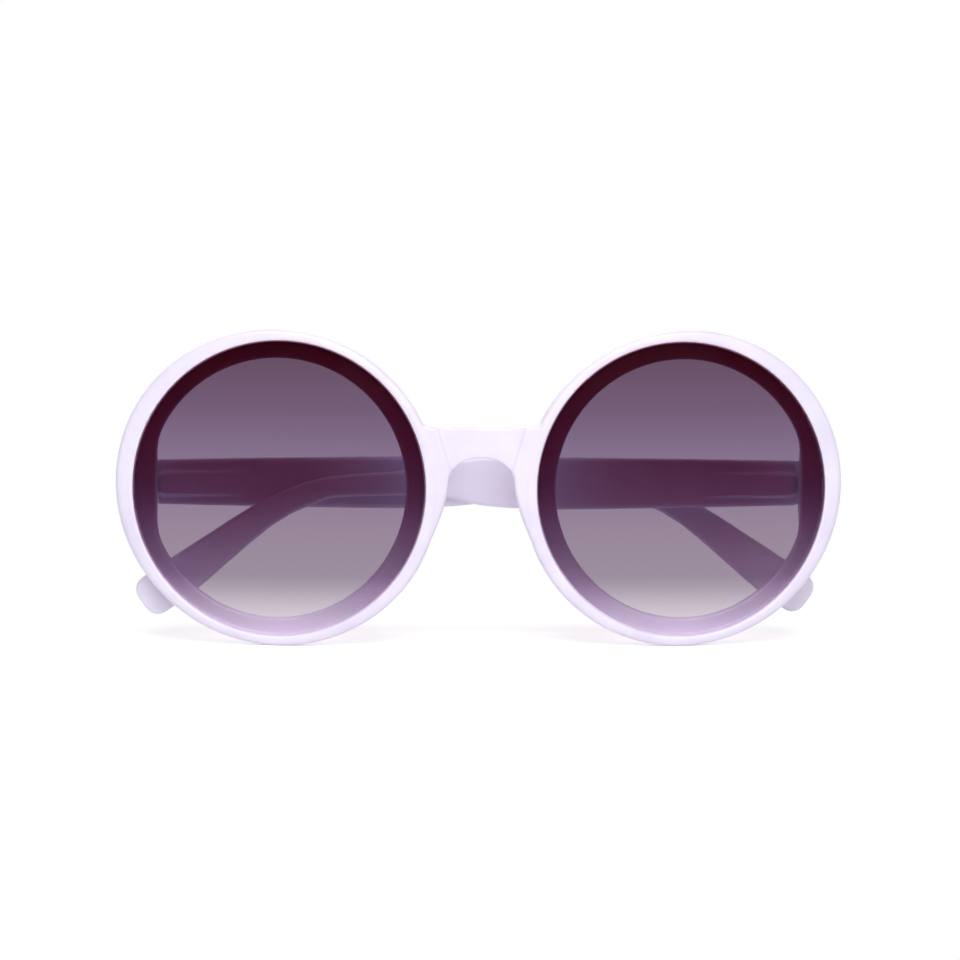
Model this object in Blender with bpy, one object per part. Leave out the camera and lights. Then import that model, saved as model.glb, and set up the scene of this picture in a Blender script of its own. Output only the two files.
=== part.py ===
"""Round sunglasses: a moulded front, two round overlay lenses and two folding arms.

Units are metres. X runs across the front, towards the wearer's left. Y runs from
the front to the back of the head, and Z is up. Z = 0 is the lowest point of the
rims, under the middle of the front. The arms are folded, as when put down.
"""

import math

import bmesh
import bpy
from mathutils import Matrix, Vector

MM = 0.001

# Lenses
LENS_RADIUS = 29.0 * MM
LENS_TO_LENS = 21.9 * MM
LENS_THICKNESS = 1.8 * MM
LENS_EDGE_ROUND = 0.25 * MM

# Front: rims, recess for the lens, flange behind it
FRONT_BASE_RADIUS = 300.0 * MM
RIM_WALL_AT_SIDES = 3.2 * MM
RIM_WALL_AT_TOP = 2.0 * MM
RIM_OUTWARD_SHIFT = 0.45 * MM
RIM_TURN_DEGREES = 20.0
RIM_DEPTH = 4.2 * MM
RIM_FRONT_ROUND = 0.9 * MM
RIM_BACK_ROUND = 1.1 * MM
LENS_GAP = 0.2 * MM
LENS_BED_GAP = 0.15 * MM
LENS_SET_BACK = 0.15 * MM
RECESS_LIP = 0.2 * MM
FLANGE_WIDTH = 3.3 * MM
OPENING_SHIFT = 0.3 * MM
OPENING_SIDE_WALL = 4.6 * MM
OPENING_ROUND = 0.4 * MM
OPENING_BLEND_POWER = 60
BLOCK_LEVEL_SHARE = 0.62
BLOCK_FADE_SHARE = 0.62

# Bridge and nose
BRIDGE_TOP = 12.3 * MM
BRIDGE_FRONT = 0.25 * MM
BRIDGE_EDGE_ROUND = 0.7 * MM
BRIDGE_SWEEP = 2.2 * MM
BRIDGE_SWEEP_WIDTH = 4.5 * MM
BRIDGE_ROUND_LIMIT_SHARE = 0.33
ARCH_TOP = 6.3 * MM
ARCH_HALF_WIDTH = 6.35 * MM
ARCH_SIDE_TOP = 1.6 * MM
ARCH_FOOT_INSET = 1.6 * MM
ARCH_FOOT = -14.6 * MM
ARCH_FLARE_POWER = 1.5
PANEL_TOP_HALF_WIDTH = 8.7 * MM
PANEL_FOOT_HALF_WIDTH = 6.0 * MM
PANEL_FOOT = 3.2 * MM
PANEL_SET_BACK = 0.55 * MM
REST_LENGTH = 13.0 * MM
REST_THICKNESS = 3.4 * MM
REST_OUTSET = 0.6 * MM
REST_REACH = 3.0 * MM
REST_DEPTH = 1.2 * MM
REST_HEIGHT = -4.5 * MM
REST_TURN_DEGREES = 22.0
REST_LEAN_DEGREES = 11.0

# Hinge
PIVOT_INSET = 6.15 * MM
HINGE_BLOCK_DEPTH = 7.2 * MM
HINGE_BLOCK_HEIGHT = 17.0 * MM
KNUCKLE_RADIUS = 1.4 * MM
KNUCKLE_HEIGHT = 1.8 * MM
KNUCKLE_GAP = 0.3 * MM
PIVOT_CLEARANCE = 0.3 * MM
LEAF_THICKNESS = 1.0 * MM
LEAF_POCKET_GAP = 0.2 * MM
FRONT_LEAF_DEPTH = 3.2 * MM
ARM_LEAF_LENGTH = 14.5 * MM
SCREW_RADIUS = 0.6 * MM
SCREW_BORE_GAP = 0.15 * MM
SCREW_HEAD_RADIUS = 1.15 * MM
SCREW_HEAD_HEIGHT = 0.7 * MM
SCREW_TAIL = 0.3 * MM
SCREW_SLOT_WIDTH = 0.3 * MM
SCREW_SLOT_DEPTH = 0.3 * MM
WEB_INSET = 0.2 * MM
OPEN_ANGLE_DEGREES = 95.0

# Arms
ARM_REACH = 135.2 * MM
ARM_HEIGHT = 10.6 * MM
ARM_TIP_DROP = 22.2 * MM
ARM_THICKNESS = 2.95 * MM
ARM_INNER_SETOFF = 0.6 * MM
ARM_EDGE_ROUND = 0.9 * MM
ARM_TIP_ROUND = 2.8 * MM
ARM_ROUND_LIMIT_SHARE = 0.45
ARM_TIP_LIMIT_SHARE = 0.46
ARM_NOTCH_LENGTH = 2.0 * MM
ARM_STACK_GAP = 0.45 * MM
WEDGE_LENGTH = 18.6 * MM
WEDGE_HEIGHT = 6.6 * MM
WEDGE_FOOT_HEIGHT = 5.0 * MM
WEDGE_RISE = 1.3 * MM
WEDGE_FOOT_RISE = 0.15 * MM

# Along the wedge: share of its length, and of its rise there
WEDGE_STATION_SHARES = (
    (0.00, 0.6),
    (0.06, 1.0),
    (0.50, 1.0),
    (0.96, 1.0),
    (1.00, 0.6),
)

# One overrun for all cutters, and the sink of one joined shape into another
OVERRUN = 3.0 * MM
JOIN_OVERLAP = 0.8 * MM

# Steps round a curve, and where the middle of a two-step rounding lies
RIM_STEPS = 84
ARCH_STEPS = 6
PIN_STEPS = 20
CORNER_STEPS = 3
TIP_STEPS = 5
ARM_STEPS = 30
REST_STEPS = 20
ROUND_MIDDLE_SHARE = 1 - math.sqrt(0.5)
LENS_RING_SHARES = (1 / 3, 2 / 3)
SHARP_ANGLE_DEGREES = 35.0

# Along the arm: share of the reach, of the tip's drop, and of the arm's height
ARM_STATION_SHARES = (
    (0.000, 0.013, 0.845),
    (0.180, 0.010, 0.930),
    (0.370, 0.009, 0.995),
    (0.434, 0.019, 0.990),
    (0.490, 0.033, 0.920),
    (0.540, 0.042, 0.665),
    (0.600, 0.012, 0.481),
    (0.657, -0.006, 0.434),
    (0.712, -0.029, 0.405),
    (0.754, -0.111, 0.457),
    (0.786, -0.202, 0.471),
    (0.819, -0.324, 0.534),
    (0.877, -0.585, 0.664),
    (0.936, -0.856, 0.792),
    (0.970, -1.000, 0.785),
)

SIDES = (("left", 1), ("right", -1))

LENS_SPACING = 2 * LENS_RADIUS + LENS_TO_LENS
WRAP = math.asin(LENS_SPACING / 2 / FRONT_BASE_RADIUS)
RIM_TURN = math.radians(RIM_TURN_DEGREES)
RECESS_RADIUS = LENS_RADIUS + LENS_GAP
RIM_HALF_WIDTH = RECESS_RADIUS + RIM_WALL_AT_SIDES
RIM_HALF_HEIGHT = RECESS_RADIUS + RIM_WALL_AT_TOP
OPENING_RADIUS = LENS_RADIUS - FLANGE_WIDTH
PIVOT_HALF_SPACING = LENS_SPACING / 2 + RIM_HALF_WIDTH - PIVOT_INSET
RECESS_DEPTH = LENS_SET_BACK + LENS_THICKNESS + LENS_BED_GAP
LENS_HEIGHT = RIM_HALF_HEIGHT
HINGE_HALF_HEIGHT = 1.5 * KNUCKLE_HEIGHT + KNUCKLE_GAP


def front_sag(x):
    """How far back the curved front lies at this distance from its middle."""
    return FRONT_BASE_RADIUS - math.sqrt(FRONT_BASE_RADIUS**2 - x**2)


BLOCK_BACK = front_sag(PIVOT_HALF_SPACING) + HINGE_BLOCK_DEPTH
PIVOT_Y = BLOCK_BACK + KNUCKLE_RADIUS + PIVOT_CLEARANCE
NOTCH_WIDTH = KNUCKLE_RADIUS + LEAF_THICKNESS + PIVOT_CLEARANCE


def clear_scene():
    """Removes every object that the file opened with."""
    for obj in list(bpy.data.objects):
        bpy.data.objects.remove(obj)


def new_collection(name):
    """A collection linked to the scene."""
    collection = bpy.data.collections.new(name)
    bpy.context.scene.collection.children.link(collection)
    return collection


def new_material(name, colour, roughness, metallic=0.0, alpha=1.0):
    """A Principled material of one colour."""
    material = bpy.data.materials.new(name)
    material.use_nodes = True
    shader = material.node_tree.nodes["Principled BSDF"]
    shader.inputs["Base Color"].default_value = (*colour, 1.0)
    shader.inputs["Roughness"].default_value = roughness
    shader.inputs["Metallic"].default_value = metallic
    shader.inputs["Alpha"].default_value = alpha
    return material


def object_from(name, shape, collection, material=None, side=1):
    """Makes an object of a shape drawn for the left side, mirrored for the right."""
    if side < 0:
        bmesh.ops.scale(shape, vec=(-1, 1, 1), verts=shape.verts)
        bmesh.ops.reverse_faces(shape, faces=shape.faces)
    mesh = bpy.data.meshes.new(name)
    shape.to_mesh(mesh)
    shape.free()
    mesh.shade_smooth()
    mesh.set_sharp_from_angle(angle=math.radians(SHARP_ANGLE_DEGREES))
    obj = bpy.data.objects.new(name, mesh)
    collection.objects.link(obj)
    if material is None:
        obj.hide_render = True
        obj.display_type = "WIRE"
    else:
        mesh.materials.append(material)
    return obj


def add_boolean(obj, operation, other):
    """Joins the other object to this one or cuts it out of it."""
    modifier = obj.modifiers.new(other.name, "BOOLEAN")
    modifier.operation = operation
    modifier.solver = "EXACT"
    modifier.object = other


def add_box(shape, low, high):
    """Adds a box between two corners."""
    low, high = Vector(low), Vector(high)
    size = Matrix.Diagonal((*(high - low), 1))
    place = Matrix.Translation((low + high) / 2)
    bmesh.ops.create_cube(shape, size=1, matrix=place @ size)


def add_pin(shape, radius, low, high):
    """Adds an upright cylinder on the pivot's axis."""
    bmesh.ops.create_cone(
        shape,
        cap_ends=True,
        segments=PIN_STEPS,
        radius1=radius,
        radius2=radius,
        depth=high - low,
        matrix=Matrix.Translation((0, 0, (low + high) / 2)),
    )


def new_box(name, low, high, collection, side=1):
    """A box as an object of its own, for a Boolean."""
    shape = bmesh.new()
    add_box(shape, low, high)
    return object_from(name, shape, collection, side=side)


def new_pin(name, radius, low, high, collection):
    """An upright cylinder as an object of its own, for a Boolean."""
    shape = bmesh.new()
    add_pin(shape, radius, low, high)
    return object_from(name, shape, collection)


def loft(rings, closed):
    """Faces between rings of points. An open loft gets a cap at each end."""
    shape = bmesh.new()
    rows = [[shape.verts.new(point) for point in ring] for ring in rings]
    pairs = list(zip(rows, rows[1:]))
    if closed:
        pairs.append((rows[-1], rows[0]))
    for row, following in pairs:
        for index, vertex in enumerate(row):
            shape.faces.new(
                (vertex, row[index - 1], following[index - 1], following[index])
            )
    if not closed:
        shape.faces.new(rows[0])
        shape.faces.new(reversed(rows[-1]))
    bmesh.ops.triangulate(shape, faces=shape.faces)
    bmesh.ops.recalc_face_normals(shape, faces=shape.faces)
    return shape


def smooth_step(value):
    """Rises from 0 to 1 with level ends."""
    value = min(max(value, 0.0), 1.0)
    return value * value * (3 - 2 * value)


def rim_radius(angle):
    """Distance of the rim's outline from the lens centre. Angle 0 points outwards."""
    shift = Vector((math.cos(RIM_TURN), math.sin(RIM_TURN))) * RIM_OUTWARD_SHIFT
    direction = Vector((math.cos(angle - RIM_TURN), math.sin(angle - RIM_TURN)))
    back = Matrix.Rotation(-RIM_TURN, 2) @ shift
    wide, tall = RIM_HALF_WIDTH, RIM_HALF_HEIGHT
    a = (direction.x / wide) ** 2 + (direction.y / tall) ** 2
    b = direction.x * back.x / wide**2 + direction.y * back.y / tall**2
    c = (back.x / wide) ** 2 + (back.y / tall) ** 2 - 1
    return (b + math.sqrt(b * b - a * c)) / a


def opening_radius(angle):
    """Distance of the flange's inner edge from the lens centre.

    The round edge runs softly into a straight one at the hinge.
    """
    across = math.cos(angle) * OPENING_SHIFT
    rise = math.sin(angle) * OPENING_SHIFT
    round_edge = across + math.sqrt(OPENING_RADIUS**2 - rise**2)
    wall = LENS_RADIUS - OPENING_SIDE_WALL
    reach = max(math.cos(angle), 0.0) * round_edge / wall
    return round_edge / (1 + reach**OPENING_BLEND_POWER) ** (1 / OPENING_BLEND_POWER)


def front_point(angle, radius, depth, back_share=0.0):
    """A point of the front, round the left lens. The back share moves it to the block's back."""
    x = LENS_SPACING / 2 + radius * math.cos(angle) * math.cos(WRAP)
    z = LENS_HEIGHT + radius * math.sin(angle)
    y = front_sag(x) + depth
    block_y = BLOCK_BACK - (RIM_DEPTH - depth)
    return Vector((x, y + (block_y - y) * back_share, z))


def rim_section(angle):
    """Points round the rim's section at one angle about the lens."""
    outside = rim_radius(angle)
    inside = opening_radius(angle)
    reach = abs(math.sin(angle)) * outside / (HINGE_BLOCK_HEIGHT / 2)
    fade = smooth_step((reach - BLOCK_LEVEL_SHARE) / BLOCK_FADE_SHARE)
    block = 1 - fade if math.cos(angle) > 0 else 0.0
    crown = (outside + RECESS_RADIUS) / 2
    half_front = RIM_FRONT_ROUND * ROUND_MIDDLE_SHARE
    half_back = RIM_BACK_ROUND * ROUND_MIDDLE_SHARE
    front = (
        (inside, RECESS_DEPTH + OPENING_ROUND),
        (inside + OPENING_ROUND, RECESS_DEPTH),
        (RECESS_RADIUS, RECESS_DEPTH),
        (RECESS_RADIUS, RECESS_LIP),
        (RECESS_RADIUS + RECESS_LIP, 0.0),
        (max(crown, outside - RIM_FRONT_ROUND), 0.0),
        (outside - half_front, half_front),
        (outside, RIM_FRONT_ROUND),
    )
    back = (
        (outside, RIM_DEPTH - RIM_BACK_ROUND),
        (outside - half_back, RIM_DEPTH - half_back),
        (outside - RIM_BACK_ROUND, RIM_DEPTH),
        (inside + OPENING_ROUND, RIM_DEPTH),
        (inside, RIM_DEPTH - OPENING_ROUND),
    )
    points = [front_point(angle, radius, depth) for radius, depth in front]
    return points + [front_point(angle, radius, depth, block) for radius, depth in back]


def rim_shape():
    """The left rim with its recess, flange and hinge block."""
    turns = [math.tau * step / RIM_STEPS for step in range(RIM_STEPS)]
    return loft([rim_section(angle) for angle in turns], closed=True)


def prism(outline, front, back):
    """A plate with this outline in X and Z, its faces following the curved front."""
    rings = [
        [Vector((x, front_sag(x) + depth, LENS_HEIGHT + z)) for x, z in outline]
        for depth in (front, back)
    ]
    return loft(rings, closed=False)


def wall_middle(height):
    """Distance from the middle at which the rim's nasal wall has its centre, at a height."""
    radius = RECESS_RADIUS + (RIM_HALF_HEIGHT - RECESS_RADIUS) / 2
    return LENS_SPACING / 2 - math.sqrt(radius**2 - height**2) * math.cos(WRAP)


def bridge_top(x):
    """Height of the bridge's upper edge, which sweeps up into each rim."""
    reach = wall_middle(BRIDGE_TOP + BRIDGE_SWEEP)
    start = reach - BRIDGE_SWEEP_WIDTH
    return BRIDGE_TOP + BRIDGE_SWEEP * (max(abs(x) - start, 0.0) / (reach - start)) ** 2


def bridge_half():
    """Pairs of points, inner edge and outer edge, from a foot up to the middle."""
    pairs = []
    foot = wall_middle(ARCH_FOOT) - ARCH_FOOT_INSET
    for step in range(ARCH_STEPS):
        drop = 1 - step / ARCH_STEPS
        z = ARCH_SIDE_TOP + (ARCH_FOOT - ARCH_SIDE_TOP) * drop
        x = ARCH_HALF_WIDTH + (foot - ARCH_HALF_WIDTH) * drop**ARCH_FLARE_POWER
        pairs.append(((x, z), (wall_middle(z), z)))
    rise = ARCH_TOP - ARCH_SIDE_TOP
    corner = BRIDGE_TOP + BRIDGE_SWEEP
    for step in range(2 * ARCH_STEPS + 1):
        turn = math.pi / 4 * step / ARCH_STEPS
        inner = (ARCH_HALF_WIDTH * math.cos(turn), ARCH_SIDE_TOP + rise * math.sin(turn))
        if step <= ARCH_STEPS:
            z = ARCH_SIDE_TOP + (corner - ARCH_SIDE_TOP) * step / ARCH_STEPS
            outer = (wall_middle(z), z)
        else:
            x = wall_middle(corner) * (2 - step / ARCH_STEPS)
            outer = (x, bridge_top(x))
        pairs.append((inner, outer))
    return pairs


def bridge_section(inner, outer):
    """The bridge's section between a point of its inner and one of its outer edge."""
    inner, outer = Vector(inner), Vector(outer)
    across = outer - inner
    widest = across.length * BRIDGE_ROUND_LIMIT_SHARE
    soft = across.normalized() * min(BRIDGE_EDGE_ROUND, widest)
    middle = soft * ROUND_MIDDLE_SHARE
    front, back = BRIDGE_FRONT, RIM_DEPTH - BRIDGE_FRONT
    depth_middle = BRIDGE_EDGE_ROUND * ROUND_MIDDLE_SHARE
    points = (
        (inner + soft, front),
        (inner + middle, front + depth_middle),
        (inner, front + BRIDGE_EDGE_ROUND),
        (inner, back - BRIDGE_EDGE_ROUND),
        (inner + middle, back - depth_middle),
        (inner + soft, back),
        (outer - soft, back),
        (outer - middle, back - depth_middle),
        (outer, back - BRIDGE_EDGE_ROUND),
        (outer, front + BRIDGE_EDGE_ROUND),
        (outer - middle, front + depth_middle),
        (outer - soft, front),
    )
    return [
        Vector((place.x, front_sag(place.x) + depth, LENS_HEIGHT + place.y))
        for place, depth in points
    ]


def bridge_shape():
    """The bridge with its arch, from foot to foot, its ends sunk in the rims."""
    half = bridge_half()
    mirrored = [((-a[0], a[1]), (-b[0], b[1])) for a, b in reversed(half[:-1])]
    sections = [bridge_section(inner, outer) for inner, outer in half + mirrored]
    return loft(sections, closed=False)


def panel_cutter_shape():
    """What sets the middle of the bridge back from the rims."""
    top = BRIDGE_TOP + OVERRUN
    slope = (PANEL_TOP_HALF_WIDTH - PANEL_FOOT_HALF_WIDTH) / (BRIDGE_TOP - PANEL_FOOT)
    top_half = PANEL_TOP_HALF_WIDTH + slope * OVERRUN
    outline = (
        (-top_half, top),
        (-PANEL_FOOT_HALF_WIDTH, PANEL_FOOT),
        (PANEL_FOOT_HALF_WIDTH, PANEL_FOOT),
        (top_half, top),
    )
    return prism(outline, -OVERRUN, BRIDGE_FRONT + PANEL_SET_BACK)


def nose_rest_shape():
    """A moulded rest on the back of the left rim's nasal side."""
    shape = bmesh.new()
    size = Vector((REST_THICKNESS / 2, REST_REACH, REST_LENGTH / 2))
    x = wall_middle(REST_HEIGHT) + REST_OUTSET
    place = Matrix.Translation(
        (x, front_sag(x) + RIM_DEPTH + REST_DEPTH, LENS_HEIGHT + REST_HEIGHT)
    )
    turn = Matrix.Rotation(math.radians(REST_TURN_DEGREES), 4, "Z")
    lean = Matrix.Rotation(-math.radians(REST_LEAN_DEGREES), 4, "Y")
    matrix = place @ turn @ lean @ Matrix.Diagonal((*size, 1))
    bmesh.ops.create_uvsphere(
        shape, u_segments=REST_STEPS, v_segments=REST_STEPS, radius=1, matrix=matrix
    )
    return shape


def build_front(collection, cutters, material):
    """The moulded front, cut for its two hinge leaves."""
    front = object_from("front_frame", bridge_shape(), collection, material)
    for name, side in SIDES:
        rim = object_from("rim_" + name, rim_shape(), cutters, side=side)
        rest = object_from("nose_rest_" + name, nose_rest_shape(), cutters, side=side)
        add_boolean(front, "UNION", rim)
        add_boolean(front, "UNION", rest)
    panel = object_from("panel_cutter", panel_cutter_shape(), cutters)
    add_boolean(front, "DIFFERENCE", panel)
    for name, side in SIDES:
        pocket = leaf_pocket(name, side, cutters)
        add_boolean(front, "DIFFERENCE", pocket)
    return front


def front_leaf_box(grow=0.0, run_out=0.0):
    """Corners of the front leaf's tab from the pivot, grown by a gap on request."""
    inner = KNUCKLE_RADIUS - LEAF_THICKNESS - PIVOT_CLEARANCE / 2
    back = -KNUCKLE_RADIUS - PIVOT_CLEARANCE
    low = (inner - grow, back - FRONT_LEAF_DEPTH - grow, -HINGE_HALF_HEIGHT - grow)
    high = (inner + LEAF_THICKNESS + grow, back + run_out, HINGE_HALF_HEIGHT + grow)
    return low, high


def leaf_pocket(name, side, cutters):
    """The slot in the back of the hinge block that holds the front leaf's tab."""
    low, high = front_leaf_box(LEAF_POCKET_GAP, OVERRUN)
    pocket = new_box("leaf_pocket_" + name, low, high, cutters, side)
    pocket.location = pivot_place(side)
    return pocket


def pivot_place(side):
    """The middle of the hinge on one side."""
    return Vector((side * PIVOT_HALF_SPACING, PIVOT_Y, LENS_HEIGHT))


def build_lens(name, side, collection, material):
    """A round lens with a softened rim, curved like the front."""
    turns = [math.tau * step / RIM_STEPS for step in range(RIM_STEPS)]
    front = LENS_SET_BACK
    back = LENS_SET_BACK + LENS_THICKNESS
    steps = [
        *((LENS_RADIUS * share, front) for share in LENS_RING_SHARES),
        (LENS_RADIUS - LENS_EDGE_ROUND, front),
        (LENS_RADIUS, front + LENS_EDGE_ROUND),
        (LENS_RADIUS, back),
        *((LENS_RADIUS * share, back) for share in reversed(LENS_RING_SHARES)),
    ]
    rings = [[front_point(turn, r, depth) for turn in turns] for r, depth in steps]
    return object_from(name, loft(rings, closed=False), collection, material, side)


def knuckle_spans():
    """Lowest and highest point of the bottom, middle and top knuckle."""
    pitch = KNUCKLE_HEIGHT + KNUCKLE_GAP
    return [
        (pitch * place - KNUCKLE_HEIGHT / 2, pitch * place + KNUCKLE_HEIGHT / 2)
        for place in (-1, 0, 1)
    ]


def build_front_leaf(name, side, collection, cutters, material, hinge):
    """The hinge half in the front: two knuckles on a tab."""
    low, high = front_leaf_box()
    leaf = bmesh.new()
    add_box(leaf, low, high)
    obj = object_from("front_leaf_" + name, leaf, collection, material, side)
    bottom, middle, top = knuckle_spans()
    parts = []
    for label, span in (("low", bottom), ("high", top)):
        key = "front_knuckle_" + label + "_" + name
        parts.append(new_pin(key, KNUCKLE_RADIUS, *span, cutters))
        web_low = (low[0], high[1] - JOIN_OVERLAP, span[0])
        web_high = (high[0], -PIVOT_CLEARANCE, span[1])
        key = "front_web_" + label + "_" + name
        parts.append(new_box(key, web_low, web_high, cutters, side))
    for part in parts:
        part.parent = hinge
        add_boolean(obj, "UNION", part)
    bore = screw_bore("front_bore_" + name, cutters, hinge)
    add_boolean(obj, "DIFFERENCE", bore)
    obj.parent = hinge
    return obj


def screw_bore(name, cutters, parent):
    """The hole that the screw's shank runs through."""
    reach = HINGE_HALF_HEIGHT + OVERRUN
    bore = new_pin(name, SCREW_RADIUS + SCREW_BORE_GAP, -reach, reach, cutters)
    bore.parent = parent
    return bore


def arm_leaf_box(grow=0.0):
    """Corners of the arm leaf's tab from the pivot, the arm pointing along +Y."""
    inner = KNUCKLE_RADIUS - grow
    start = PIVOT_CLEARANCE - grow
    half = KNUCKLE_HEIGHT / 2 + grow
    low = (inner, start, -half)
    high = (inner + LEAF_THICKNESS + 2 * grow, start + ARM_LEAF_LENGTH + 2 * grow, half)
    return low, high


def build_arm_leaf(name, side, collection, cutters, material, turn):
    """The hinge half in the arm: one knuckle on a long tab."""
    low, high = arm_leaf_box()
    leaf = bmesh.new()
    add_box(leaf, low, high)
    obj = object_from("arm_leaf_" + name, leaf, collection, material, side)
    span = knuckle_spans()[1]
    knuckle = new_pin("arm_knuckle_" + name, KNUCKLE_RADIUS, *span, cutters)
    web_high = (high[0] - WEB_INSET, KNUCKLE_RADIUS, span[1])
    web = new_box("arm_web_" + name, (0, low[1], span[0]), web_high, cutters, side)
    for part in (knuckle, web):
        part.parent = turn
        add_boolean(obj, "UNION", part)
    add_boolean(obj, "DIFFERENCE", screw_bore("arm_bore_" + name, cutters, turn))
    obj.parent = turn
    return obj


def build_screw(name, side, collection, cutters, material, hinge):
    """The slotted screw that the arm turns on."""
    head_low = HINGE_HALF_HEIGHT + SCREW_BORE_GAP
    head_high = head_low + SCREW_HEAD_HEIGHT
    tail = -HINGE_HALF_HEIGHT - SCREW_TAIL
    shank = bmesh.new()
    add_pin(shank, SCREW_RADIUS, tail, head_high - SCREW_HEAD_HEIGHT / 2)
    obj = object_from("hinge_screw_" + name, shank, collection, material, side)
    head = new_pin("head_" + name, SCREW_HEAD_RADIUS, head_low, head_high, cutters)
    half = SCREW_SLOT_WIDTH / 2
    slot_low = (-SCREW_HEAD_RADIUS - OVERRUN, -half, head_high - SCREW_SLOT_DEPTH)
    slot_high = (SCREW_HEAD_RADIUS + OVERRUN, half, head_high + OVERRUN)
    slot = new_box("slot_" + name, slot_low, slot_high, cutters)
    for part, operation in ((head, "UNION"), (slot, "DIFFERENCE")):
        part.parent = hinge
        add_boolean(obj, operation, part)
    obj.parent = hinge
    return obj


def station_at(share):
    """Drop share and height share of the arm at a share of its length, smoothly joined."""
    table = ARM_STATION_SHARES
    share = min(max(share, table[0][0]), table[-1][0])
    index = 0
    while index < len(table) - 2 and share > table[index + 1][0]:
        index += 1
    before = table[max(index - 1, 0)]
    here, there = table[index], table[index + 1]
    after = table[min(index + 2, len(table) - 1)]
    span = there[0] - here[0]
    t = (share - here[0]) / span
    found = []
    for column in (1, 2):
        slope_in = (there[column] - before[column]) / (there[0] - before[0]) * span
        slope_out = (after[column] - here[column]) / (after[0] - here[0]) * span
        found.append(
            (2 * t**3 - 3 * t**2 + 1) * here[column]
            + (t**3 - 2 * t**2 + t) * slope_in
            + (3 * t**2 - 2 * t**3) * there[column]
            + (t**3 - t**2) * slope_out
        )
    return found


def arm_centre(share):
    """The middle of the arm's side view at a share of its reach."""
    return Vector((0, share * ARM_REACH, station_at(share)[0] * ARM_TIP_DROP))


def arm_ring(share, lowered=0.0, thinned=0.0, shift=0.0):
    """The arm's rounded section, square to its run at a share of its reach.

    Its outer face stays flat from end to end, so that the folded arms lie steadily on a
    table. At the tip the section is lowered and thinned, and shifted along the run.
    """
    step = 1 / ARM_STEPS
    run = arm_centre(share + step / 2) - arm_centre(share - step / 2)
    if share >= ARM_STATION_SHARES[-1][0]:
        run = arm_centre(share) - arm_centre(share - step)
    run.normalize()
    up = Vector((0, -run.z, run.y))
    centre = arm_centre(share) + run * shift
    half = station_at(share)[1] * ARM_HEIGHT / 2 - lowered
    inner = ARM_INNER_SETOFF + thinned / 2
    outer = inner + ARM_THICKNESS - thinned
    radius = min(ARM_EDGE_ROUND, ARM_ROUND_LIMIT_SHARE * min(outer - inner, 2 * half))
    corners = (
        (outer - radius, half - radius, 0),
        (inner + radius, half - radius, 1),
        (inner + radius, radius - half, 2),
        (outer - radius, radius - half, 3),
    )
    ring = []
    for x, height, quarter in corners:
        for part in range(CORNER_STEPS + 1):
            turn = math.pi / 2 * (quarter + part / CORNER_STEPS)
            across = x + radius * math.cos(turn)
            ring.append(
                centre
                + up * (height + radius * math.sin(turn))
                + Vector((across, 0, 0))
            )
    return ring


def arm_shape():
    """The arm before its notch is cut, pointing along +Y from the pivot."""
    last = ARM_STATION_SHARES[-1][0]
    rings = [arm_ring(last * step / ARM_STEPS) for step in range(ARM_STEPS + 1)]
    start_gap = butt_start()
    rings[0] = [Vector((p.x, start_gap, p.z)) for p in rings[0]]
    tip_round = min(ARM_TIP_ROUND, ARM_TIP_LIMIT_SHARE * station_at(last)[1] * ARM_HEIGHT)
    for part in range(1, TIP_STEPS + 1):
        turn = math.pi / 2 * part / TIP_STEPS
        lowered = tip_round * (1 - math.cos(turn))
        thinned = ARM_EDGE_ROUND * (1 - math.cos(turn))
        rings.append(arm_ring(last, lowered, thinned, tip_round * math.sin(turn)))
    return loft(rings, closed=False)


def butt_start():
    """Where the arm's butt ends, clear of the block when the arm is splayed fully open."""
    splay = math.radians(OPEN_ANGLE_DEGREES) - math.pi / 2
    reach = ARM_INNER_SETOFF + ARM_THICKNESS
    return reach * math.tan(splay) - KNUCKLE_RADIUS


def wedge_shape():
    """The raised wedge inside the arm that covers the hinge's tab."""
    rings = []
    for share, rise_share in WEDGE_STATION_SHARES:
        along = ARM_NOTCH_LENGTH + WEDGE_LENGTH * share
        half = (WEDGE_HEIGHT + (WEDGE_FOOT_HEIGHT - WEDGE_HEIGHT) * share) / 2
        rise = WEDGE_RISE + (WEDGE_FOOT_RISE - WEDGE_RISE) * share
        crest = half - rise * (2 - rise_share)
        top = ARM_INNER_SETOFF - rise * rise_share
        foot = ARM_INNER_SETOFF + JOIN_OVERLAP
        points = ((foot, half), (top, crest), (top, -crest), (foot, -half))
        rings.append([Vector((x, along, z)) for x, z in points])
    return loft(rings, closed=False)


def build_arm(name, side, collection, cutters, material, turn):
    """An arm with its wedge, notched for the knuckles and slotted for its leaf."""
    obj = object_from("arm_" + name, arm_shape(), collection, material, side)
    wedge = object_from("wedge_" + name, wedge_shape(), cutters, side=side)
    far = ARM_HEIGHT + OVERRUN
    low = (-far, -far, -far)
    high = (NOTCH_WIDTH, ARM_NOTCH_LENGTH, far)
    notch = new_box("notch_" + name, low, high, cutters, side)
    slot = new_box("tab_slot_" + name, *arm_leaf_box(LEAF_POCKET_GAP), cutters, side)
    parts = ((wedge, "UNION"), (notch, "DIFFERENCE"), (slot, "DIFFERENCE"))
    for part, operation in parts:
        part.parent = turn
        add_boolean(obj, operation, part)
    obj.parent = turn
    return obj


def rest_angles():
    """How far each folded arm stands off the front, so that one lies over the other."""
    stack = (ARM_THICKNESS + ARM_STACK_GAP) / PIVOT_HALF_SPACING
    turn = math.atan(stack / 2)
    return {"left": -turn, "right": turn}


def new_empty(name, collection, parent=None):
    """An empty that carries what turns or stands with it."""
    empty = bpy.data.objects.new(name, None)
    empty.empty_display_size = KNUCKLE_RADIUS
    collection.objects.link(empty)
    empty.parent = parent
    return empty


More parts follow.
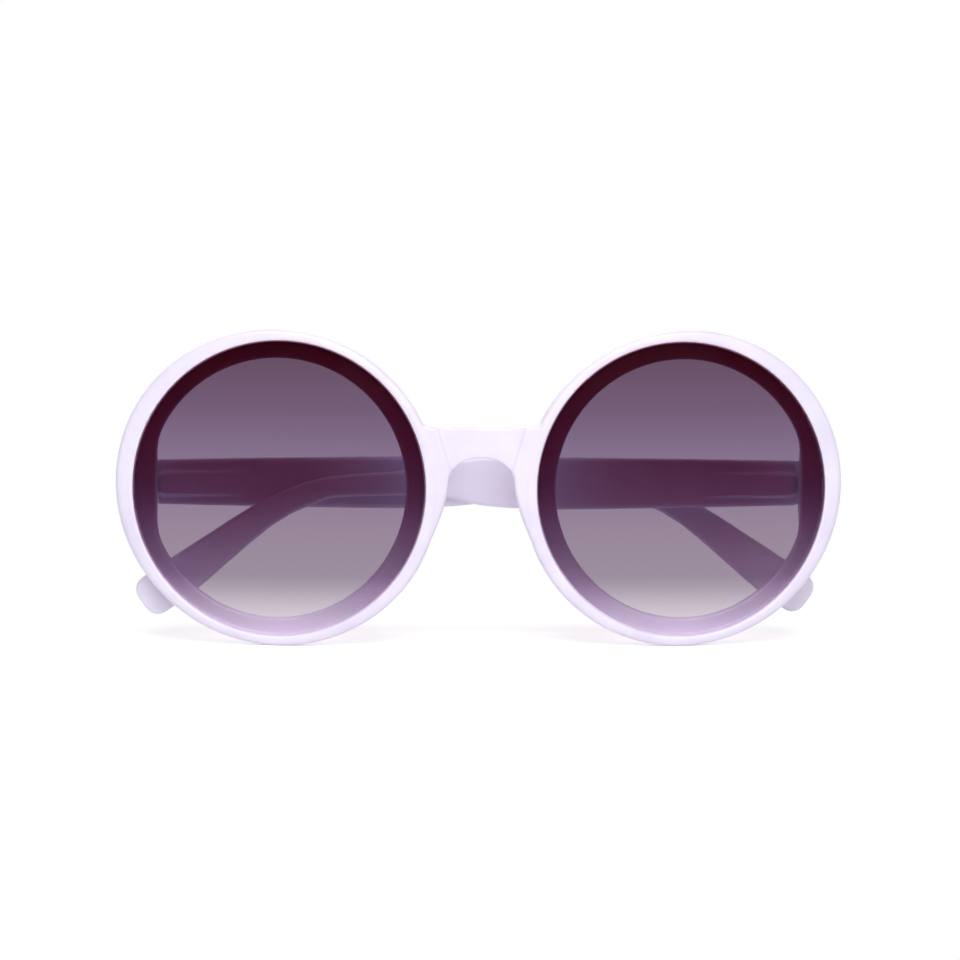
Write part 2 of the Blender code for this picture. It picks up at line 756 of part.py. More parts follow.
def stand_on_origin(root, collection):
    """Moves everything so that the origin is under the middle, level with the lowest point."""
    graph = bpy.context.evaluated_depsgraph_get()
    points = [
        obj.matrix_world @ vertex.co
        for obj in collection.objects
        if obj.type == "MESH"
        for vertex in obj.evaluated_get(graph).data.vertices
    ]
    low = Vector([min(point[axis] for point in points) for axis in range(3)])
    high = Vector([max(point[axis] for point in points) for axis in range(3)])
    middle = (low + high) / 2
    root.location = (-middle.x, -middle.y, -low.z)
    bpy.context.view_layer.update()


def main():
    """Builds the whole object."""
    clear_scene()
    parts = new_collection("round_sunglasses")
    cutters = new_collection("cutters")
    root = new_empty("root", parts)
    lilac = new_material("lilac_plastic", (0.80, 0.76, 0.93), 0.35)
    tint = new_material("tinted_lens", (0.16, 0.08, 0.17), 0.05, alpha=0.7)
    steel = new_material("hinge_steel", (0.62, 0.62, 0.64), 0.30, metallic=1.0)
    build_front(parts, cutters, lilac)
    angles = rest_angles()
    for name, side in SIDES:
        build_lens("lens_" + name, side, parts, tint)
        hinge = new_empty("hinge_" + name, parts, root)
        hinge.location = pivot_place(side)
        turn = new_empty("arm_turn_" + name, parts, hinge)
        turn.rotation_euler = (0, 0, side * (math.pi / 2 - angles[name]))
        build_front_leaf(name, side, parts, cutters, steel, hinge)
        build_screw(name, side, parts, cutters, steel, hinge)
        build_arm_leaf(name, side, parts, cutters, steel, turn)
        build_arm(name, side, parts, cutters, lilac, turn)
    for obj in (*parts.objects, *cutters.objects):
        if obj.parent is None and obj is not root:
            obj.parent = root
    bpy.context.view_layer.update()
    stand_on_origin(root, parts)


if __name__ == "__main__":
    main()
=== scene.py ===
"""Round sunglasses with gradient lenses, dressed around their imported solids.

The solids give every shape its size and place. The moulded pieces are finer copies of
them, with the soft edges that a mould leaves, and the lenses are modelled afresh as
smooth curved discs. Lengths are in metres, and MM turns millimetres into them. Angles
are in degrees until they are used.
"""

from __future__ import annotations

import logging
import math
from dataclasses import dataclass
from enum import Enum
from typing import ClassVar

import bpy
from mathutils import Matrix, Vector


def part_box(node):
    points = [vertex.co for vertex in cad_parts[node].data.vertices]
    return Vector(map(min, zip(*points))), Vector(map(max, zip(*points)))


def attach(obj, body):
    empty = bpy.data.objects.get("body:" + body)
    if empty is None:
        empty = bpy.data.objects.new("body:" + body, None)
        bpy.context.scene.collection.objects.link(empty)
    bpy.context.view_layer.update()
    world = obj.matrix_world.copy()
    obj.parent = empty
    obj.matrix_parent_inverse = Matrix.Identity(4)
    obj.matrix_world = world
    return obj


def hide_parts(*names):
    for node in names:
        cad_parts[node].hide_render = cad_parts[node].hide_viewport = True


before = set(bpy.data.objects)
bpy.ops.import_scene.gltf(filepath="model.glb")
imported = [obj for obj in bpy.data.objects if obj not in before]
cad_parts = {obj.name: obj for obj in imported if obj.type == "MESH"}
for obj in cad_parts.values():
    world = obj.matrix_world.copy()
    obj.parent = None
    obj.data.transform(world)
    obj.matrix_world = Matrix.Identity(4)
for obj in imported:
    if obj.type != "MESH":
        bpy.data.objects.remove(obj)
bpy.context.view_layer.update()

MM = 0.001
WHITE = (1.0, 1.0, 1.0, 1.0)

# The sRGB curve: a straight foot up to its knee, and a power above it.
SRGB_TOP = 255
SRGB_KNEE = 0.04045
SRGB_SLOPE = 12.92
SRGB_OFFSET = 0.055
SRGB_GAMMA = 2.4

# Corners of a solid closer than this are the same corner.
MERGE_DISTANCE = 0.002 * MM

# Voxel sizes that the moulded pieces are made finer with.
FRONT_GRAIN = 0.25 * MM
ARM_GRAIN = 0.22 * MM

log = logging.getLogger("sunglasses")


class Side(Enum):
    """The wearer's two sides, as the words in the names of pieces."""

    LEFT = "left"
    RIGHT = "right"


class Slot(Enum):
    """Material slots of the record."""

    PLASTIC = "lilac_plastic"
    LENS = "tinted_lens"
    STEEL = "hinge_steel"


def linear_part(share: float) -> float:
    """Turns one channel of an sRGB colour into linear light.

    Args:
        share: The channel, from 0 to 1.

    Returns:
        Its linear value, from 0 to 1.
    """
    if share <= SRGB_KNEE:
        return share / SRGB_SLOPE
    return ((share + SRGB_OFFSET) / (1 + SRGB_OFFSET)) ** SRGB_GAMMA


def linear(hex_colour: str) -> tuple[float, float, float, float]:
    """Turns an sRGB colour into the linear one that shaders take.

    Args:
        hex_colour: A hash and six hex digits.

    Returns:
        Red, green, blue and an alpha of 1.
    """
    channels = bytes.fromhex(hex_colour.lstrip("#"))
    red, green, blue = (linear_part(channel / SRGB_TOP) for channel in channels)
    return (red, green, blue, 1.0)


def add_node(
    material: bpy.types.Material,
    kind: str,
    settings: dict[str, object] | None = None,
    inputs: dict[str | int, object] | None = None,
) -> bpy.types.Node:
    """Adds a node with its settings, and sets or links its inputs.

    Args:
        material: The material, or the world, whose tree gets the node.
        kind: The node's type, such as ShaderNodeMix.
        settings: Attributes of the node.
        inputs: Values by input name or number, or output sockets to link there.

    Returns:
        The new node.
    """
    tree = material.node_tree
    node = tree.nodes.new(kind)
    for name, value in (settings or {}).items():
        setattr(node, name, value)
    for name, value in (inputs or {}).items():
        socket = node.inputs[name]
        if isinstance(value, bpy.types.NodeSocket):
            tree.links.new(value, socket)
        else:
            socket.default_value = value
    return node


def empty_material(name: str) -> bpy.types.Material:
    """Makes a material with no nodes yet.

    Args:
        name: The material's name.

    Returns:
        The material, with an empty node tree.
    """
    material = bpy.data.materials.new(name)
    material.use_nodes = True
    material.node_tree.nodes.clear()
    return material


def object_place(material: bpy.types.Material) -> bpy.types.NodeSocket:
    """Adds the object coordinates of each point, in metres."""
    return add_node(material, "ShaderNodeTexCoord").outputs["Object"]


def noise(
    material: bpy.types.Material, size: float, detail: float
) -> bpy.types.NodeSocket:
    """Adds soft noise over the object.

    Args:
        material: The material that gets it.
        size: The size of its patches.
        detail: How many finer rounds it has.

    Returns:
        The socket of its value.
    """
    node = add_node(
        material,
        "ShaderNodeTexNoise",
        inputs={"Vector": object_place(material), "Scale": 1 / size, "Detail": detail},
    )
    return node.outputs["Fac"]


def bump(
    material: bpy.types.Material,
    height: bpy.types.NodeSocket,
    distance: float,
    strength: float = 1.0,
) -> bpy.types.NodeSocket:
    """Raises a surface by a pattern, in its shading only.

    Args:
        material: The material that gets it.
        height: The pattern, from 0 to 1.
        distance: How high the pattern's full value stands.
        strength: The share of the effect that is kept.

    Returns:
        The socket of the bent normal.
    """
    node = add_node(
        material,
        "ShaderNodeBump",
        inputs={"Height": height, "Distance": distance, "Strength": strength},
    )
    return node.outputs["Normal"]


def calculate(
    material: bpy.types.Material,
    operation: str,
    first: float | bpy.types.NodeSocket,
    second: float | bpy.types.NodeSocket,
) -> bpy.types.NodeSocket:
    """Works out one value from two.

    Args:
        material: The material, or the world, that gets the node.
        operation: The sum to do, such as MULTIPLY.
        first: The first value.
        second: The second value.

    Returns:
        The socket of the result.
    """
    node = add_node(
        material, "ShaderNodeMath", {"operation": operation}, {0: first, 1: second}
    )
    return node.outputs["Value"]


def mix_shaders(
    material: bpy.types.Material,
    share: bpy.types.NodeSocket,
    first: bpy.types.NodeSocket,
    second: bpy.types.NodeSocket,
) -> bpy.types.NodeSocket:
    """Mixes two shaders.

    Args:
        material: The material that gets the mix.
        share: The share of the second shader.
        first: The first shader.
        second: The second shader.

    Returns:
        The socket of the mixed shader.
    """
    node = add_node(
        material, "ShaderNodeMixShader", inputs={"Fac": share, 1: first, 2: second}
    )
    return node.outputs["Shader"]


def background_rays(material: bpy.types.Material) -> bpy.types.NodeSocket:
    """Tells the rays that show the background from those that light the object.

    Args:
        material: The material, or the world, that asks.

    Returns:
        1 for camera, glossy and transmission rays, and 0 for all others.
    """
    rays = add_node(material, "ShaderNodeLightPath").outputs
    seen = calculate(material, "MAXIMUM", rays["Is Camera Ray"], rays["Is Glossy Ray"])
    return calculate(material, "MAXIMUM", seen, rays["Is Transmission Ray"])


def set_surface(material: bpy.types.Material, surface: bpy.types.NodeSocket) -> None:
    """Links a shader to the material's output."""
    add_node(material, "ShaderNodeOutputMaterial", inputs={"Surface": surface})


@dataclass(frozen=True)
class MouldedPolycarbonate:
    """Injection-moulded polycarbonate, dyed a pale lilac.

    A polished mould gives it a soft gloss, and its skin has a faint unevenness that
    breaks up the highlights. Faint clouds swing its tone and its gloss.
    """

    name: str = "moulded_polycarbonate"
    colour: str = "#EEE7FA"
    deep_colour: str = "#E6DDF5"
    roughness: float = 0.34
    roughness_swing: float = 0.06
    ior: float = 1.58
    cloud_size: float = 9.0 * MM
    cloud_detail: float = 3.0
    cloud_deep: float = 0.25
    cloud_pale: float = 0.6
    skin_size: float = 0.6 * MM
    skin_detail: float = 2.0
    skin_height: float = 0.004 * MM
    skin_strength: float = 0.6

    def make(self) -> bpy.types.Material:
        """Builds the material.

        Returns:
            The material.
        """
        material = empty_material(self.name)
        cloud = noise(material, self.cloud_size, self.cloud_detail)
        sheen = add_node(
            material,
            "ShaderNodeMapRange",
            inputs={
                "Value": cloud,
                "To Min": self.roughness - self.roughness_swing,
                "To Max": self.roughness + self.roughness_swing,
            },
        )
        skin = noise(material, self.skin_size, self.skin_detail)
        shader = add_node(
            material,
            "ShaderNodeBsdfPrincipled",
            inputs={
                "Base Color": self.tone(material, cloud),
                "Roughness": sheen.outputs["Result"],
                "IOR": self.ior,
                "Normal": bump(material, skin, self.skin_height, self.skin_strength),
            },
        )
        set_surface(material, shader.outputs["BSDF"])
        return material

    def tone(
        self, material: bpy.types.Material, cloud: bpy.types.NodeSocket
    ) -> bpy.types.NodeSocket:
        """Colours the clouds, from the deeper lilac to the pale one.

        Args:
            material: The plastic.
            cloud: The clouds.

        Returns:
            The socket of the colour.
        """
        ramp = add_node(material, "ShaderNodeValToRGB", inputs={"Fac": cloud})
        deep, pale = ramp.color_ramp.elements
        deep.color = linear(self.deep_colour)
        pale.color = linear(self.colour)
        deep.position = self.cloud_deep
        pale.position = self.cloud_pale
        return ramp.outputs["Color"]


@dataclass(frozen=True)
class GradientLensTint:
    """Dyed polycarbonate lens, dipped so that its plum tint fades downwards.

    The stops give what passes through the whole lens at shares of its height, from its
    lowest to its highest point, and around 0.20 and 0.36 they are darker still with
    painted shadow, as of the arms on a surface behind. Light crosses two faces, so each
    face takes the root. The light that falls in has a darker, redder row of its own:
    the tint on that light, with painted shade on what lies close behind, the flange and
    the arms. A coat leaves only a faint gloss, and only where light meets the lens from
    outside.
    """

    MIX_FIRST_COLOUR: ClassVar[int] = 6
    MIX_SECOND_COLOUR: ClassVar[int] = 7
    MIX_RESULT_COLOUR: ClassVar[int] = 2

    low: float
    high: float
    name: str = "gradient_tinted_lens"
    # The lens tint, darker around 0.20 and 0.36 than the tint alone: painted shadow, as
    # of the arms on a surface behind.
    stops: tuple[tuple[float, str], ...] = (
        (0.00, "#EDE5EF"),
        (0.08, "#C7BEC8"),
        (0.20, "#9D8F9F"),
        (0.36, "#98879A"),
        (0.52, "#8C7993"),
        (0.64, "#836F8B"),
        (0.78, "#735C76"),
        (0.92, "#695168"),
        (1.00, "#62495E"),
    )
    # The tint on the light that falls in, darker than the tint alone: painted shade on
    # the flange and the arms close behind the lens.
    inward_tint_and_shade_stops: tuple[tuple[float, str], ...] = (
        (0.09, "#F7F0F5"),
        (0.17, "#E9D9E6"),
        (0.26, "#BDA9BB"),
        (0.38, "#9C7692"),
        (0.50, "#824A65"),
        (0.62, "#823A54"),
        (0.74, "#8B3350"),
        (1.00, "#952B43"),
    )
    gloss_ior: float = 1.09
    gloss_roughness: float = 0.02

    def make(self) -> bpy.types.Material:
        """Builds the material.

        Returns:
            The material.
        """
        material = empty_material(self.name)
        clear = add_node(
            material, "ShaderNodeBsdfTransparent", inputs={"Color": self.tint(material)}
        )
        gloss = add_node(
            material, "ShaderNodeBsdfGlossy", inputs={"Roughness": self.gloss_roughness}
        )
        surface = mix_shaders(
            material, self.shine(material), clear.outputs["BSDF"], gloss.outputs["BSDF"]
        )
        set_surface(material, surface)
        return material

    def tint(self, material: bpy.types.Material) -> bpy.types.NodeSocket:
        """Picks the row of tints for what the camera sees, and the darker row with
        painted shade for the light inside.

        Args:
            material: The lens material.

        Returns:
            The socket of the colour that one face lets through.
        """
        height = add_node(
            material, "ShaderNodeSeparateXYZ", inputs={"Vector": object_place(material)}
        )
        share = add_node(
            material,
            "ShaderNodeMapRange",
            inputs={
                "Value": height.outputs["Z"],
                "From Min": self.low,
                "From Max": self.high,
            },
        ).outputs["Result"]
        rays = add_node(material, "ShaderNodeLightPath")
        # The camera sees the first row; every other ray takes the darker row, which
        # paints shade on what lies behind the lens.
        mix = add_node(
            material,
            "ShaderNodeMix",
            {"data_type": "RGBA"},
            {
                "Factor": rays.outputs["Is Camera Ray"],
                self.MIX_FIRST_COLOUR: self.ramp(material, share, self.inward_tint_and_shade_stops),
                self.MIX_SECOND_COLOUR: self.ramp(material, share, self.stops),
            },
        )
        return mix.outputs[self.MIX_RESULT_COLOUR]

    @staticmethod
    def ramp(
        material: bpy.types.Material,
        share: bpy.types.NodeSocket,
        stops: tuple[tuple[float, str], ...],
    ) -> bpy.types.NodeSocket:
        """Adds one row of tints over the lens height, for a single face.

        Args:
            material: The lens material.
            share: The share of the lens height.
            stops: Shares, with what passes through the whole lens there, painted shade
                included.

        Returns:
            The colour that one face lets through.
        """
        node = add_node(material, "ShaderNodeValToRGB", inputs={"Fac": share})
        elements = node.color_ramp.elements
        while len(elements) < len(stops):
            elements.new(1.0)
        for element, (place_share, colour) in zip(elements, stops):
            element.position = place_share
            element.color = [math.sqrt(part) for part in linear(colour)]
        return node.outputs["Color"]

    def shine(self, material: bpy.types.Material) -> bpy.types.NodeSocket:
        """Works out how much the coat mirrors, on the outer faces alone.

        Args:
            material: The lens material.

        Returns:
            The socket of the mirrored share.
        """
        mirrored = add_node(
            material, "ShaderNodeFresnel", inputs={"IOR": self.gloss_ior}
        ).outputs["Fac"]
        inside = add_node(material, "ShaderNodeNewGeometry").outputs["Backfacing"]
        outside = calculate(material, "SUBTRACT", 1.0, inside)
        return calculate(material, "MULTIPLY", mirrored, outside)


@dataclass(frozen=True)
class TurnedSteel:
    """Plain turned and stamped stainless steel, as small hinges are.

    Fine tool marks run round it and give a soft metal shine. A wave texture at scale 1
    turns by WAVE_TURN_RATE radians in each metre.
    """

    WAVE_TURN_RATE: ClassVar[float] = 20.0

    name: str = "turned_stainless_steel"
    colour: str = "#C9C9CC"
    roughness: float = 0.3
    mark_spacing: float = 0.754 * MM
    mark_waver: float = 2.0
    mark_height: float = 0.003 * MM

    def make(self) -> bpy.types.Material:
        """Builds the material.

        Returns:
            The material.
        """
        material = empty_material(self.name)
        marks = add_node(
            material,
            "ShaderNodeTexWave",
            {"bands_direction": "Z"},
            {
                "Vector": object_place(material),
                "Scale": 2 * math.pi / (self.WAVE_TURN_RATE * self.mark_spacing),
                "Distortion": self.mark_waver,
            },
        )
        shader = add_node(
            material,
            "ShaderNodeBsdfPrincipled",
            inputs={
                "Base Color": linear(self.colour),
                "Metallic": 1.0,
                "Roughness": self.roughness,
                "Normal": bump(material, marks.outputs["Fac"], self.mark_height),
            },
        )
        set_surface(material, shader.outputs["BSDF"])
        return material


@dataclass(frozen=True)
class WhiteSweep:
    """Matt white photographer's paper. It shows white, and keeps shadows.

    A lift that only the background rays see makes the lit paper show white. Away from
    the object, beyond its shadow, the paper shows plain white. The distance counts for
    less along the object's width.
    """

    name: str = "white_paper_sweep"
    colour: str = "#F4F4F4"
    lift: float = 0.46
    width_share: float = 0.5
    shadow_reach: float = 40.0 * MM
    fade_end: float = 130.0 * MM

    def make(self) -> bpy.types.Material:
        """Builds the material.

        Returns:
            The material.
        """
        material = empty_material(self.name)
        shown = background_rays(material)
        paper = add_node(
            material, "ShaderNodeBsdfDiffuse", inputs={"Color": linear(self.colour)}
        )
        glow = add_node(
            material,
            "ShaderNodeEmission",
            inputs={"Strength": calculate(material, "MULTIPLY", shown, self.lift)},
        )
        lit = add_node(
            material,
            "ShaderNodeAddShader",
            inputs={0: paper.outputs["BSDF"], 1: glow.outputs["Emission"]},
        )
        plain = add_node(material, "ShaderNodeEmission")
        surface = mix_shaders(
            material,
            calculate(material, "MULTIPLY", shown, self.far_share(material)),
            lit.outputs["Shader"],
            plain.outputs["Emission"],
        )
        set_surface(material, surface)
        return material

    def far_share(self, material: bpy.types.Material) -> bpy.types.NodeSocket:
        """Tells the paper beyond the shadow from the paper near the object.

        Args:
            material: The paper.

        Returns:
            0 near the object, and 1 beyond its shadow.
        """
        narrowed = add_node(
            material,
            "ShaderNodeVectorMath",
            {"operation": "MULTIPLY"},
            {0: object_place(material), 1: (self.width_share, 1.0, 1.0)},
        )
        away = add_node(
            material,
            "ShaderNodeVectorMath",
            {"operation": "LENGTH"},
            {0: narrowed.outputs["Vector"]},
        )
        far = add_node(
            material,
            "ShaderNodeMapRange",
            {"interpolation_type": "SMOOTHSTEP"},
            {
                "Value": away.outputs["Value"],
                "From Min": self.shadow_reach,
                "From Max": self.fade_end,
            },
        )
        return far.outputs["Result"]


def deselect() -> None:
    """Leaves edit mode and clears the selection."""
    if bpy.context.object is not None and bpy.context.object.mode != "OBJECT":
        bpy.ops.object.mode_set(mode="OBJECT")
    bpy.ops.object.select_all(action="DESELECT")


def make_active(piece: bpy.types.Object) -> None:
    """Selects one object alone, and makes it the active one.

    Args:
        piece: The object.
    """
    deselect()
    piece.select_set(True)
    bpy.context.view_layer.objects.active = piece


def edit_whole(piece: bpy.types.Object) -> None:
    """Opens a piece in edit mode, with all of its mesh selected.

    Args:
        piece: The object to edit.
    """
    make_active(piece)
    bpy.ops.object.mode_set(mode="EDIT")
    bpy.ops.mesh.select_all(action="SELECT")


def apply_modifier(piece: bpy.types.Object, kind: str, **settings: object) -> None:
    """Adds a modifier to a piece and applies it.

    Args:
        piece: The object to change.
        kind: The modifier's type.
        **settings: Its settings by name.
    """
    modifier = piece.modifiers.new(kind.lower(), kind)
    for name, value in settings.items():
        setattr(modifier, name, value)
    make_active(piece)
    bpy.ops.object.modifier_apply(modifier=modifier.name)


def merged_copy(node: str, name: str) -> bpy.types.Object:
    """Copies a solid of the frame, with its loose triangles joined up.

    Args:
        node: The solid's name.
        name: The new piece's name.

    Returns:
        The copy, as an object of its own.
    """
    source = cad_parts[node]
    piece = bpy.data.objects.new(name, source.data.copy())
    bpy.context.scene.collection.objects.link(piece)
    piece.data.materials.clear()
    edit_whole(piece)
    bpy.ops.mesh.remove_doubles(threshold=MERGE_DISTANCE)
    bpy.ops.object.mode_set(mode="OBJECT")
    return piece


@dataclass(frozen=True)
class DressedPiece:
    """A visible piece that stands for one solid, and rides on that solid's body."""

    SLOT: ClassVar[Slot]

    node: str
    body: str

    def finish(self, piece: bpy.types.Object, material: bpy.types.Material) -> None:
        """Gives a piece its material and its body, and hides the solid that it stands
        for.

        Args:
            piece: The finished mesh.
            material: Its material.
        """
        piece.data.materials.clear()
        piece.data.materials.append(material)
        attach(piece, self.body)
        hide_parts(self.node)
        log.info("%s: %d faces on %s", piece.name, len(piece.data.polygons), self.body)


@dataclass(frozen=True)
class MouldedPiece(DressedPiece):
    """A moulded piece: the solid's shape with the soft edges of a mould."""

    SLOT: ClassVar[Slot] = Slot.PLASTIC

    grain: float
    soften_rounds: int = 8
    soften_share: float = 0.5

    def build(self, plastic: bpy.types.Material) -> bpy.types.Object:
        """Makes the piece from its solid.

        Args:
            plastic: The moulded material.

        Returns:
            The piece.
        """
        piece = merged_copy(self.node, self.node + "_moulding")
        apply_modifier(piece, "REMESH", mode="VOXEL", voxel_size=self.grain)
        apply_modifier(
            piece, "SMOOTH", factor=self.soften_share, iterations=self.soften_rounds
        )
        make_active(piece)
        bpy.ops.object.shade_smooth()
        self.finish(piece, plastic)
        return piece


@dataclass(frozen=True)
class FrontSurface:
    """The round curve of the front, as seen from above."""

    BASE_RADIUS: ClassVar[float] = 300.0 * MM

    middle_y: float
    thickness: float
    narrowing: float

    def depth_at(self, x: float) -> float:
        """Y of the lens face at this distance from the middle."""
        return self.middle_y + self.sag(x)

    @classmethod
    def sag(cls, x: float) -> float:
        """How far back the curve lies at this distance from the middle."""
        return cls.BASE_RADIUS - math.sqrt(cls.BASE_RADIUS**2 - x * x)

    @classmethod
    def through(cls, node: str) -> FrontSurface:
        """Fits the curve to a lens solid.

        Args:
            node: The lens solid.

        Returns:
            The curve of its front face, with its thickness and its width over height.
        """
        low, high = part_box(node)
        nearest = min(abs(low.x), abs(high.x))
        farthest = max(abs(low.x), abs(high.x))
        middle_y = low.y - cls.sag(nearest)
        thickness = high.y - middle_y - cls.sag(farthest)
        return cls(middle_y, thickness, (high.x - low.x) / (high.z - low.z))


@dataclass(frozen=True)
class RoundLens(DressedPiece):
    """A round lens: a disc with a softened edge, curved like the front."""

    SLOT: ClassVar[Slot] = Slot.LENS
    SQUARE_ON: ClassVar[float] = 0.9
    QUAD: ClassVar[int] = 4

    segments: int = 144
    rings: int = 12
    edge_round: float = 0.25 * MM
    smooth_angle: float = 40.0

    def build(self, tint: bpy.types.Material) -> bpy.types.Object:
        """Models the disc flat, then gives it the curve of the front.

        Args:
            tint: The lens material.

        Returns:
            The lens.
        """
        low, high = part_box(self.node)
        radius = (high.z - low.z) / 2
        surface = FrontSurface.through(self.node)
        piece = self.flat_disc(radius, surface.thickness)
        self.ring_faces(piece, radius)
        self.curve(piece, (low + high) / 2, radius, surface)
        make_active(piece)
        bpy.ops.object.shade_smooth_by_angle(angle=math.radians(self.smooth_angle))
        self.finish(piece, tint)
        return piece

    def flat_disc(self, radius: float, thickness: float) -> bpy.types.Object:
        """Makes the lens as a flat disc that faces along Y.

        Args:
            radius: Its radius.
            thickness: Its thickness.

        Returns:
            The disc, with its front at Y zero.
        """
        deselect()
        bpy.ops.mesh.primitive_circle_add(
            vertices=self.segments,
            radius=radius,
            fill_type="NGON",
            rotation=(math.pi / 2, 0, 0),
        )
        piece = bpy.context.object
        piece.name = self.node + "_disc"
        bpy.ops.object.transform_apply(location=False, rotation=True, scale=True)
        edit_whole(piece)
        bpy.ops.mesh.extrude_region_move(
            TRANSFORM_OT_translate={"value": (0, thickness, 0)}
        )
        bpy.ops.mesh.select_all(action="SELECT")
        bpy.ops.mesh.normals_make_consistent(inside=False)
        bpy.ops.object.mode_set(mode="OBJECT")
        return piece

    def ring_faces(self, piece: bpy.types.Object, radius: float) -> None:
        """Insets both flat faces in rings, so that they can curve.

        Args:
            piece: The flat disc.
            radius: Its radius.
        """
        step = (radius - self.edge_round) / (self.rings + 1)
        for facing in (-1, 1):
            make_active(piece)
            bpy.ops.object.mode_set(mode="EDIT")
            bpy.ops.mesh.select_all(action="DESELECT")
            bpy.ops.object.mode_set(mode="OBJECT")
            for face in piece.data.polygons:
                faces_out = face.normal.y * facing > self.SQUARE_ON
                face.select = faces_out and len(face.vertices) > self.QUAD
            bpy.ops.object.mode_set(mode="EDIT")
            bpy.ops.mesh.inset(thickness=self.edge_round)
            for _ in range(self.rings):
                bpy.ops.mesh.inset(thickness=step)
            bpy.ops.mesh.poke()
            bpy.ops.object.mode_set(mode="OBJECT")

    def curve(
        self,
        piece: bpy.types.Object,
        centre: Vector,
        radius: float,
        surface: FrontSurface,
    ) -> None:
        """Moves the disc to its place on the curved front, and breaks its front edge.

        Args:
            piece: The flat disc.
            centre: The lens centre.
            radius: The disc's radius.
            surface: The front's curve.
        """
        for vertex in piece.data.vertices:
            flat = vertex.co.copy()
            out = math.hypot(flat.x, flat.z)
            edge = max(0.0, out - (radius - self.edge_round))
            drop = edge if flat.y < surface.thickness / 2 else 0.0
            x = centre.x + flat.x * surface.narrowing
            y = surface.depth_at(x) + flat.y + drop
            vertex.co = Vector((x, y, centre.z + flat.z))


@dataclass(frozen=True)
class HingeMetal(DressedPiece):
    """A small steel piece of a hinge, with the broken edges of stamped metal."""

    SLOT: ClassVar[Slot] = Slot.STEEL

    edge: float = 0.08 * MM
    edge_steps: int = 2
    flat_angle: float = 1.0
    sharp_angle: float = 40.0
    smooth_angle: float = 35.0

    def build(self, steel: bpy.types.Material) -> bpy.types.Object:
        """Makes the piece from its solid.

        Args:
            steel: The metal.

        Returns:
            The piece.
        """
        piece = merged_copy(self.node, self.node + "_steel")
        edit_whole(piece)
        bpy.ops.mesh.dissolve_limited(angle_limit=math.radians(self.flat_angle))
        bpy.ops.object.mode_set(mode="OBJECT")
        apply_modifier(
            piece,
            "BEVEL",
            width=self.edge,
            segments=self.edge_steps,
            limit_method="ANGLE",
            angle_limit=math.radians(self.sharp_angle),
        )
        make_active(piece)
        bpy.ops.object.shade_smooth_by_angle(angle=math.radians(self.smooth_angle))
        self.finish(piece, steel)
        return piece


@dataclass(frozen=True)
class Softbox:
    """A square lamp with an even soft face."""

    name: str
    place: tuple[float, float, float]
    power: float
    size: float = 0.6

    def hang(self, target: Vector) -> None:
        """Hangs the lamp and turns it to a point.

        Args:
            target: The point that it lights.
        """
        lamp = bpy.data.lights.new(self.name, "AREA")
        lamp.size = self.size
        lamp.energy = self.power
        holder = bpy.data.objects.new(self.name, lamp)
        bpy.context.scene.collection.objects.link(holder)
        place = Vector(self.place)
        holder.location = place
        holder.rotation_euler = (target - place).to_track_quat("-Z", "Y").to_euler()


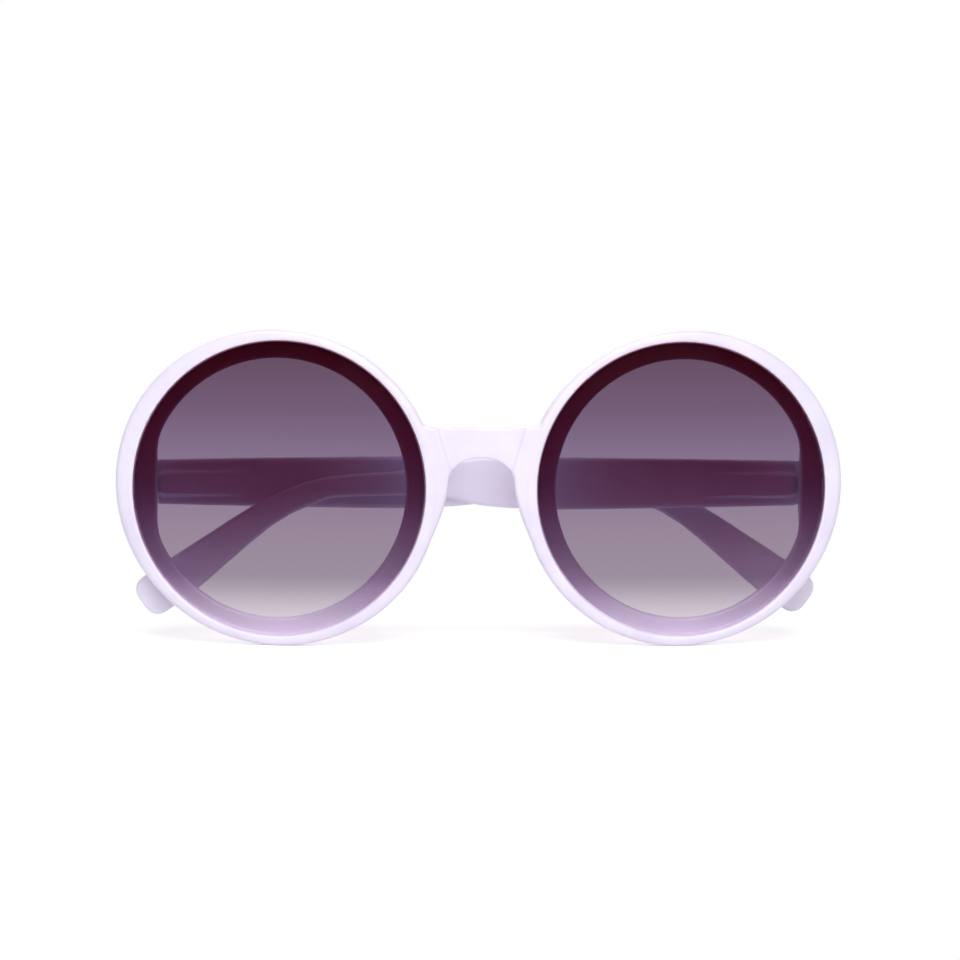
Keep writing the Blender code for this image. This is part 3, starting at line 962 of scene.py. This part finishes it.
@dataclass(frozen=True)
class Studio:
    """The white sweep, the lamps and the camera.

    A strong lamp hangs high in front. Weaker ones hang low in front and high behind.
    """

    sweep_half: float = 3.0
    photo_width: float = 189.7 * MM
    camera_distance: float = 830.0 * MM
    sensor_width_mm: float = 36.0
    azimuth: float = -2.3
    elevation: float = 4.0
    roll: float = 0.3
    aim: tuple[float, float, float] = (-0.2 * MM, -8.8 * MM, 33.0 * MM)
    world_strength: float = 0.36
    lamp_target: tuple[float, float, float] = (0.0, 0.0, 30.0 * MM)
    lamps: tuple[Softbox, ...] = (
        Softbox("top_softbox", (0.0, -0.55, 0.62), 4.0),
        Softbox("front_softbox", (0.1, -0.8, 0.25), 1.35),
        Softbox("back_softbox", (-0.15, 0.75, 0.5), 1.5),
    )

    def build(self) -> None:
        """Puts up the sweep, the lamps, the world and the camera."""
        self.lay_sweep()
        self.light_world()
        for lamp in self.lamps:
            lamp.hang(Vector(self.lamp_target))
        self.set_camera()

    def lay_sweep(self) -> None:
        """Lays the white floor under the lowest point of the rims."""
        deselect()
        bpy.ops.mesh.primitive_plane_add(size=2 * self.sweep_half)
        floor = bpy.context.object
        floor.name = "paper_sweep"
        floor.data.materials.append(WhiteSweep().make())

    def light_world(self) -> None:
        """Gives an even pale sky, which shows white behind the object."""
        world = bpy.data.worlds.new("studio_white")
        bpy.context.scene.world = world
        world.use_nodes = True
        world.node_tree.nodes.clear()
        strength = add_node(
            world,
            "ShaderNodeMapRange",
            inputs={
                "Value": background_rays(world),
                "To Min": self.world_strength,
                "To Max": 1.0,
            },
        )
        light = add_node(
            world,
            "ShaderNodeBackground",
            inputs={"Color": WHITE, "Strength": strength.outputs["Result"]},
        )
        add_node(
            world,
            "ShaderNodeOutputWorld",
            inputs={"Surface": light.outputs["Background"]},
        )

    def set_camera(self) -> None:
        """Sets the camera where the photograph was taken from."""
        turn, lift = math.radians(self.azimuth), math.radians(self.elevation)
        back = Vector(
            (
                math.sin(turn) * math.cos(lift),
                -math.cos(turn) * math.cos(lift),
                math.sin(lift),
            )
        )
        lens = bpy.data.cameras.new("product_camera")
        lens.sensor_width = self.sensor_width_mm
        lens.lens = self.sensor_width_mm * self.camera_distance / self.photo_width
        camera = bpy.data.objects.new("product_camera", lens)
        bpy.context.scene.collection.objects.link(camera)
        look = (-back).to_track_quat("-Z", "Y").to_matrix().to_4x4()
        tilt = Matrix.Rotation(math.radians(self.roll), 4, "Z")
        place = Vector(self.aim) + back * self.camera_distance
        camera.matrix_world = Matrix.Translation(place) @ look @ tilt
        bpy.context.scene.camera = camera


def build_sunglasses() -> None:
    """Builds every piece of the sunglasses in order."""
    plastic = MouldedPolycarbonate().make()
    steel = TurnedSteel().make()
    low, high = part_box("lens_left")
    tint = GradientLensTint(low.z, high.z).make()
    MouldedPiece("front_frame", "front", FRONT_GRAIN).build(plastic)
    for side in Side:
        word = side.value
        arm_body = word + "_arm"
        RoundLens("lens_" + word, "front").build(tint)
        MouldedPiece("arm_" + word, arm_body, ARM_GRAIN).build(plastic)
        HingeMetal("front_leaf_" + word, "front").build(steel)
        HingeMetal("hinge_screw_" + word, "front").build(steel)
        HingeMetal("arm_leaf_" + word, arm_body).build(steel)


def main() -> None:
    """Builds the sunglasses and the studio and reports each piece."""
    logging.basicConfig(level=logging.INFO, format="%(message)s")
    build_sunglasses()
    Studio().build()
    bpy.context.scene.view_settings.view_transform = "Standard"


if __name__ == "__main__":
    main()
